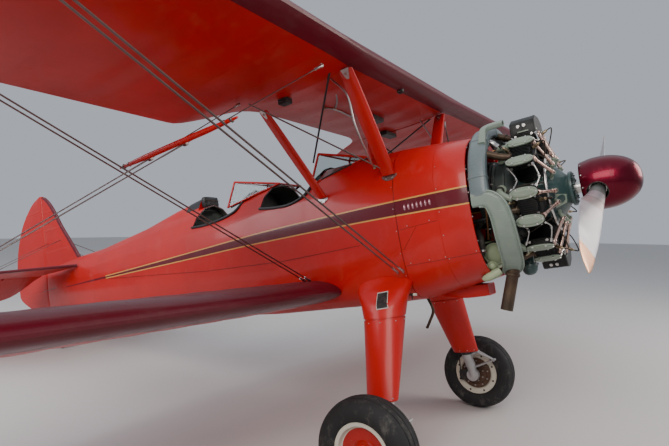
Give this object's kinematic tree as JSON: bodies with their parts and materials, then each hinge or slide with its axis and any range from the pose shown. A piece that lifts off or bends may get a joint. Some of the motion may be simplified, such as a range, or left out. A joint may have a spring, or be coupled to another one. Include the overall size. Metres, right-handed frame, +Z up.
{
  "type": "open-cockpit biplane",
  "caption": "Open two-seat trainer biplane with a radial engine, wire-braced wings, tail-wheel gear, and moving controls, wheels and propeller.",
  "frame": {"origin": "on the ground under the middle of the parked aircraft's length and span", "axes": "+X forwards, +Y to port along the wing span, +Z up; the aircraft sits nose up by 10.57 degrees on its three wheels"},
  "size_m": [7.7044, 9.7776, 2.8881],
  "materials": {
    "red_fabric": "doped fabric in gloss red, smooth over ribs and stringers",
    "red_paint": "gloss red enamel on sheet metal and tube",
    "maroon_paint": "dark maroon metallic gloss with clear coat",
    "gold_line": "narrow gold pinstripe",
    "cylinder_black": "satin black engine enamel",
    "engine_grey": "grey-green engine enamel, worn at edges",
    "bright_metal": "polished and satin light metal",
    "steel_wire": "streamlined steel bracing wire",
    "burnt_steel": "heat-browned exhaust steel",
    "wheel_cream": "cream enamel",
    "tyre": "black ribbed tyre rubber, dusty",
    "tail_tyre": "solid black rubber",
    "cockpit_grey": "grey-green interior enamel",
    "instrument_black": "crackle black panel",
    "leather": "dark padded leather",
    "glass": "clear flat panes",
    "plate_black": "blank black plate with a bright edge"
  },
  "bodies": {
    "airframe": {"air_scoop": "red_paint", "bracing_left": "bright_metal", "bracing_right": "bright_metal", "cabane_front_strut_left": "red_paint", "cabane_front_strut_right": "red_paint", "cabane_rear_strut_left": "red_paint", "cabane_rear_strut_right": "red_paint", "cockpit_floor": "cockpit_grey", "crankcase": "engine_grey", "engine_cylinder_1": "cylinder_black", "engine_cylinder_2": "cylinder_black", "engine_cylinder_3": "cylinder_black", "engine_cylinder_4": "cylinder_black", "engine_cylinder_5": "cylinder_black", "engine_cylinder_6": "cylinder_black", "engine_cylinder_7": "cylinder_black", "engine_mount": "cylinder_black", "exhaust_collector": "engine_grey", "fin": "red_fabric", "forward_fuselage": "red_fabric", "front_cockpit_section": "red_fabric", "front_instrument_panel": "instrument_black", "front_seat": "cockpit_grey", "front_windscreen": "maroon_paint", "headrest": "leather", "interplane_strut_left": "red_paint", "interplane_strut_right": "red_paint", "landing_gear_axle_left": "bright_metal", "landing_gear_axle_right": "bright_metal", "landing_gear_leg_left": "red_paint", "landing_gear_leg_right": "red_paint", "lower_wing_left": "red_fabric", "lower_wing_right": "red_fabric", "nose_cowl": "red_paint", "rear_cockpit_section": "red_fabric", "rear_fuselage": "red_fabric", "rear_instrument_panel": "instrument_black", "rear_seat": "cockpit_grey", "rear_windscreen": "maroon_paint", "stabilizer_left": "red_fabric", "stabilizer_right": "red_fabric", "tail_wheel_strut": "red_paint", "upper_wing_center": "red_fabric", "upper_wing_left": "red_fabric", "upper_wing_right": "red_fabric"},
    "propeller": {"propeller_spinner": "maroon_paint", "propeller_blades": "bright_metal"},
    "left_wheel": {"wheel_rim_left": "wheel_cream", "tyre_left": "tyre"},
    "right_wheel": {"wheel_rim_right": "wheel_cream", "tyre_right": "tyre"},
    "tail_fork": {"tail_wheel_fork": "bright_metal"},
    "tail_wheel_body": {"tail_wheel": "tail_tyre"},
    "rudder_body": {"rudder": "red_fabric"},
    "elevator_body": {"elevator_left": "red_fabric", "elevator_right": "red_fabric"},
    "left_aileron": {"aileron_left": "red_fabric"},
    "right_aileron": {"aileron_right": "red_fabric"}
  },
  "joints": [
    {"name": "propeller_spin", "type": "hinge", "parent": "airframe", "child": "propeller", "pos_m": [3.52711, 0, 1.88], "axis": [0.983, 0, 0.1834], "continuous": true},
    {"name": "left_wheel_spin", "type": "hinge", "parent": "airframe", "child": "left_wheel", "pos_m": [2.53352, 1.004, 0.314], "axis": [0, 1, 0], "continuous": true},
    {"name": "right_wheel_spin", "type": "hinge", "parent": "airframe", "child": "right_wheel", "pos_m": [2.53352, -1.004, 0.314], "axis": [0, 1, 0], "continuous": true},
    {"name": "tail_wheel_swivel", "type": "hinge", "parent": "airframe", "child": "tail_fork", "pos_m": [-2.5618, 0, 0.13], "axis": [0, 0, 1], "range_deg": [-30, 30]},
    {"name": "tail_wheel_spin", "type": "hinge", "parent": "tail_fork", "child": "tail_wheel_body", "pos_m": [-2.6568, 0, 0.13], "axis": [0, 1, 0], "continuous": true},
    {"name": "rudder_swing", "type": "hinge", "parent": "airframe", "child": "rudder_body", "pos_m": [-3.04607, 0, 1.06033], "axis": [-0.1834, 0, 0.983], "range_deg": [-30, 30]},
    {"name": "elevator_swing", "type": "hinge", "parent": "airframe", "child": "elevator_body", "pos_m": [-3.0235, 0, 0.93942], "axis": [0, 1, 0], "range_deg": [0, 55]},
    {"name": "left_aileron_swing", "type": "hinge", "parent": "airframe", "child": "left_aileron", "pos_m": [0.79647, 3.09046, 0.92977], "axis": [-0.0045, 0.9997, 0.024], "range_deg": [-25, 25]},
    {"name": "right_aileron_swing", "type": "hinge", "parent": "airframe", "child": "right_aileron", "pos_m": [0.79647, -3.09046, 0.92977], "axis": [0.0045, 0.9997, -0.024], "range_deg": [-25, 25]}
  ],
  "couplings": [
    {"joint": "right_aileron_swing", "follows": "left_aileron_swing", "ratio": -1}
  ]
}
